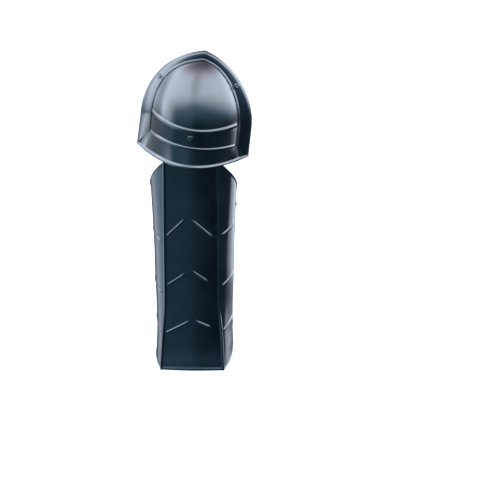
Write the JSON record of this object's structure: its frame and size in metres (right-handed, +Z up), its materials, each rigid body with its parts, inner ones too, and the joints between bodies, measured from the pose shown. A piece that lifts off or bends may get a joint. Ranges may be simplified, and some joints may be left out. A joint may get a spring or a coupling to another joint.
{
  "type": "greave",
  "caption": "Moulded leg guard: a domed knee cup over a winged shin plate with chevron ribs, joined by webbing and worn with strap loops behind the leg",
  "frame": {"origin": "on the axis of the leg, in the middle of the shin plate's hollow", "axes": "+Z up along the leg towards the knee, the shin plate faces -Y, +X to the right seen from the front"},
  "size_m": [0.1796, 0.1651, 0.4925],
  "materials": {
    "plastic_shell": "high gloss, blue-black, moulded",
    "webbing": "woven black webbing",
    "clasp_plastic": "satin black",
    "rivet_metal": "blackened, satin"
  },
  "bodies": {
    "root": {"knee_cup": "plastic_shell", "shin_plate": "plastic_shell", "knee_strap": "webbing", "link_strap": "webbing", "upper_calf_strap": "webbing", "lower_calf_strap": "webbing", "knee_clasp": "clasp_plastic", "upper_calf_clasp": "clasp_plastic", "lower_calf_clasp": "clasp_plastic", "knee_rivet_left": "rivet_metal", "knee_rivet_right": "rivet_metal", "link_rivet_cup": "rivet_metal", "link_rivet_plate": "rivet_metal", "upper_calf_rivet_left": "rivet_metal", "upper_calf_rivet_right": "rivet_metal", "lower_calf_rivet_left": "rivet_metal", "lower_calf_rivet_right": "rivet_metal"}
  },
  "joints": []
}
